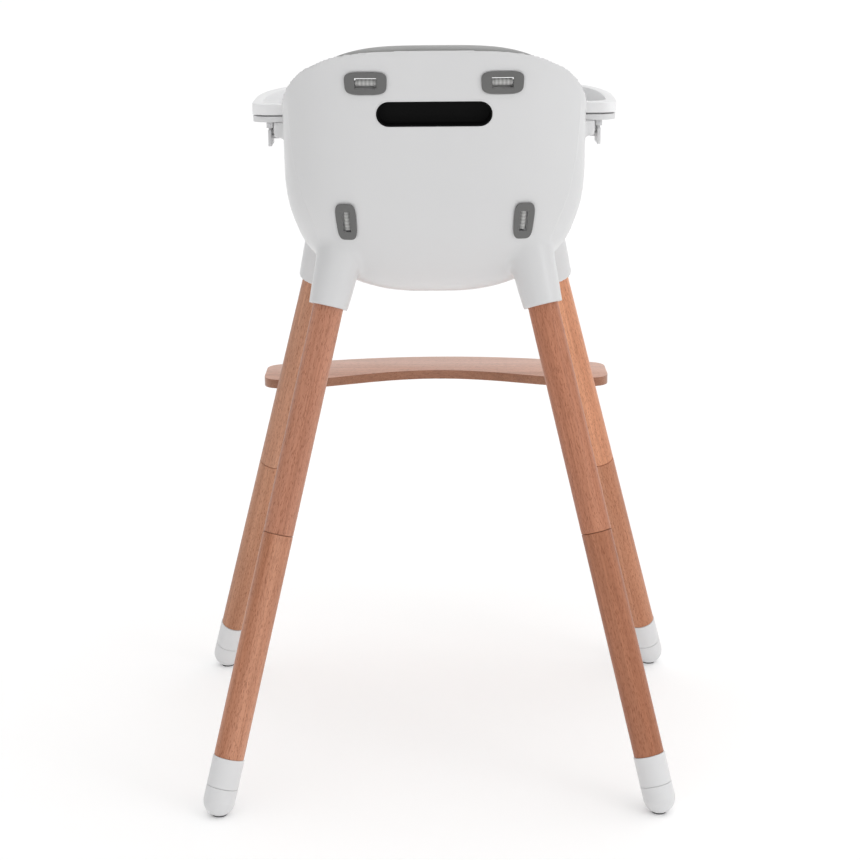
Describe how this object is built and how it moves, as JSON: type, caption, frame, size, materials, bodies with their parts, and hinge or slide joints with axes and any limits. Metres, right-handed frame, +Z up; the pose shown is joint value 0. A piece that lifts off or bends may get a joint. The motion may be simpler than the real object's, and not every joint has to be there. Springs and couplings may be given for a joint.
{
  "type": "baby high chair",
  "caption": "Baby high chair: moulded bucket seat with cushion and harness, raked two-piece wooden legs, footrest and a removable tray with an insert.",
  "frame": {"origin": "on the floor, under the middle of the feet's footprint", "axes": "+Z up; the child faces -Y, and the child's left hand is on +X"},
  "size_m": [0.6728, 0.5654, 0.942],
  "materials": {
    "shell_white": "satin moulded",
    "white_plastic": "fine satin moulded",
    "black_plastic": "matt",
    "grey_plastic": "fine matt texture",
    "cushion_cover": "soft fine grain",
    "webbing": "woven",
    "rubber_pad": "matt",
    "beech": "satin varnish",
    "steel": "zinc plated"
  },
  "bodies": {
    "chair": {"seat_shell": "shell_white", "hand_grip_cup": "black_plastic", "upper_strap_bezels": "grey_plastic", "lower_strap_bezels": "grey_plastic", "strap_anchor_bars": "steel", "back_cushion": "cushion_cover", "seat_cushion": "cushion_cover", "shoulder_strap_left": "webbing", "shoulder_strap_right": "webbing", "waist_strap_left": "webbing", "waist_strap_right": "webbing", "crotch_strap": "webbing", "shoulder_pads": "cushion_cover", "strap_sliders": "black_plastic", "buckle_body": "white_plastic", "buckle_tongues": "white_plastic", "upper_leg_rear_left": "beech", "upper_leg_rear_right": "beech", "upper_leg_front_left": "beech", "upper_leg_front_right": "beech", "lower_leg_rear_left": "beech", "lower_leg_rear_right": "beech", "lower_leg_front_left": "beech", "lower_leg_front_right": "beech", "leg_joint_studs": "steel", "leg_joint_inserts": "steel", "seat_bolts": "steel", "seat_bolt_inserts": "steel", "foot_sleeves": "white_plastic", "foot_tips": "white_plastic", "foot_pads": "rubber_pad", "foot_screws": "steel", "footrest": "beech", "footrest_screws": "steel"},
    "tray": {"tray_base": "white_plastic", "latch_pins": "steel", "latch_springs": "steel"},
    "insert": {"tray_insert": "white_plastic"},
    "latch_left": {"tray_latch_left": "white_plastic"},
    "latch_right": {"tray_latch_right": "white_plastic"},
    "button": {"buckle_button": "grey_plastic"}
  },
  "joints": [
    {"name": "tray_slide", "type": "slide", "parent": "chair", "child": "tray", "axis": [0, -1, 0], "range_m": [0, 0.13]},
    {"name": "insert_lift", "type": "slide", "parent": "tray", "child": "insert", "axis": [0, 0, 1], "range_m": [0, 0.06]},
    {"name": "latch_left_hinge", "type": "hinge", "parent": "tray", "child": "latch_left", "pos_m": [0.2125, -0.0477, 0.829], "axis": [0, -1, 0], "range_deg": [0, 18], "stiffness_Nm_per_rad": 0.2, "springref_deg": -14.32},
    {"name": "latch_right_hinge", "type": "hinge", "parent": "tray", "child": "latch_right", "pos_m": [-0.2125, -0.0477, 0.829], "axis": [0, 1, 0], "range_deg": [0, 18], "stiffness_Nm_per_rad": 0.2, "springref_deg": -14.32},
    {"name": "buckle_press", "type": "slide", "parent": "chair", "child": "button", "axis": [0, 0.2079, -0.9781], "range_m": [0, 0.003], "stiffness_N_per_m": 400, "springref_m": -0.002}
  ]
}
